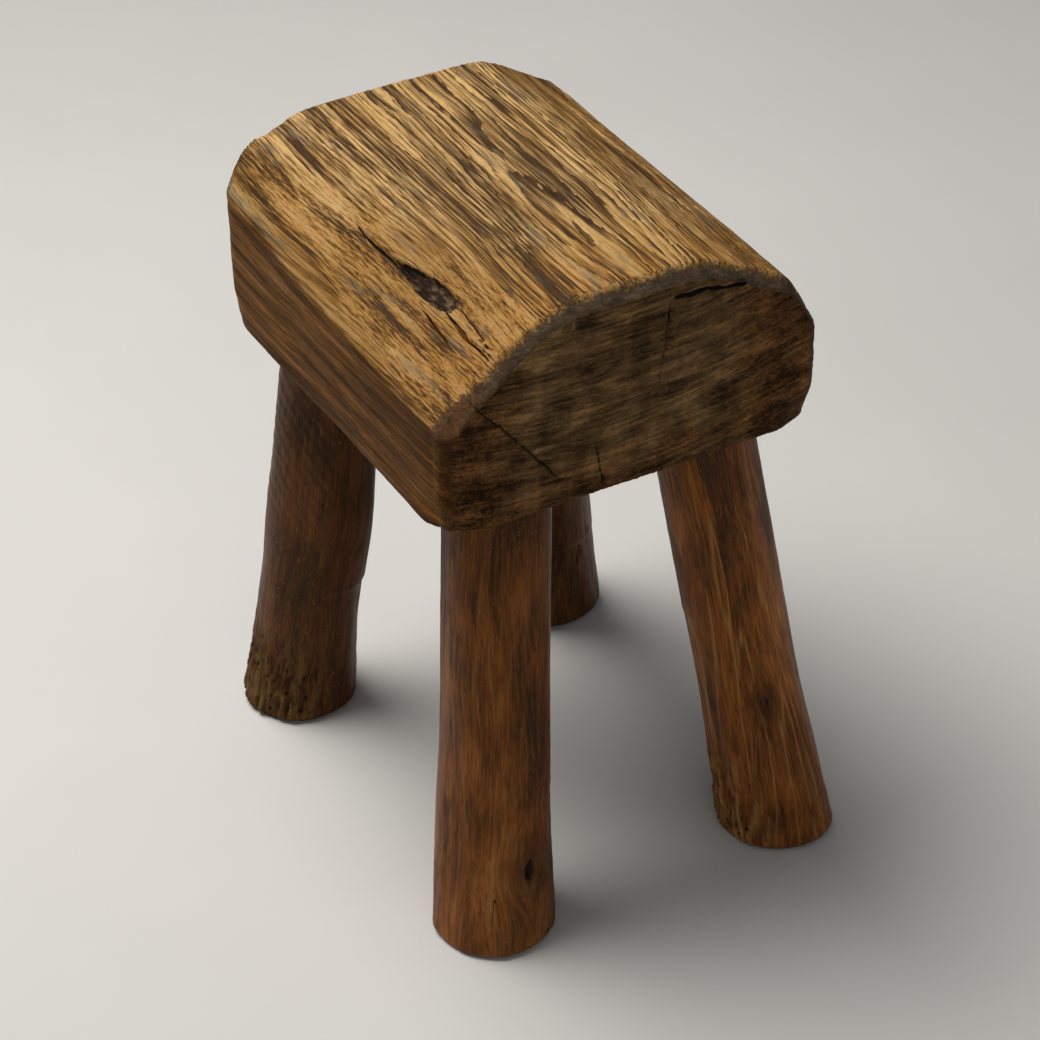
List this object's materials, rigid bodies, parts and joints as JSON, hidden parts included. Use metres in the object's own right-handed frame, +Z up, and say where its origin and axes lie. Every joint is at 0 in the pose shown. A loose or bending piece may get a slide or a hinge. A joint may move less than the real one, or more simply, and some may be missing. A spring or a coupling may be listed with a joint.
{
  "type": "milking stool",
  "caption": "Low rustic milking stool: a thick hewn block seat with a rounded crown, on splayed round wooden legs that swell to club feet.",
  "frame": {"origin": "bottom centre of the whole stool, on the floor", "axes": "+Z up; the grain and the length of the seat block along X, with the checked end grain at +X; -Y is the long side with the broad hewn facet"},
  "size_m": [0.3042, 0.2422, 0.375],
  "materials": {
    "seat_wood": "weathered, raised grain, waxed by use",
    "leg_wood": "worn, dark reddish brown, dull sheen",
    "wedge_wood": "plain riven hardwood"
  },
  "bodies": {
    "root": {"seat_block": "seat_wood", "leg_front_right": "leg_wood", "leg_front_left": "leg_wood", "leg_back_right": "leg_wood", "leg_back_left": "leg_wood", "fox_wedge_front_right": "wedge_wood", "fox_wedge_front_left": "wedge_wood", "fox_wedge_back_right": "wedge_wood", "fox_wedge_back_left": "wedge_wood"}
  },
  "joints": []
}
